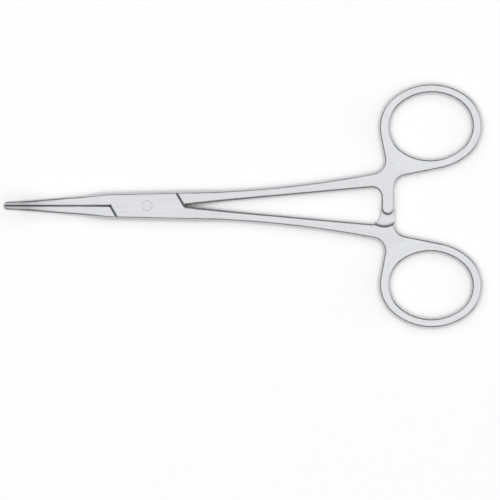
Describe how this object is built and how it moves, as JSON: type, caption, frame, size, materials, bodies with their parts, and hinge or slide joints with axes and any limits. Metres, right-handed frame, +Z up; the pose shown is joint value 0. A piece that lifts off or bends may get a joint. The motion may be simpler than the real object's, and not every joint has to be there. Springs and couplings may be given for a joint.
{
  "type": "haemostatic forceps",
  "caption": "Curved artery forceps with a box lock, cross-serrated tapering jaws, slim bowed shanks, ratchet arms and oval finger rings, shown closed.",
  "frame": {"origin": "on the axis of the box lock's pin, in the plane of the box lock's underside", "axes": "+X along the closed jaws' parting line towards the finger rings, +Y towards the tongue half's handle, +Z up, the way that the jaws curve"},
  "size_m": [0.1403, 0.0716, 0.0098],
  "materials": {
    "satin_steel": "satin stainless steel with softly polished edges"
  },
  "bodies": {
    "box_side": {"box_half": "satin_steel", "lock_pin": "satin_steel"},
    "tongue_side": {"tongue_half": "satin_steel"}
  },
  "joints": [
    {"name": "box_lock_pivot", "type": "hinge", "parent": "box_side", "child": "tongue_side", "pos_m": [0, 0, 0.0024], "axis": [0, 0, 1], "range_deg": [0, 50]}
  ]
}
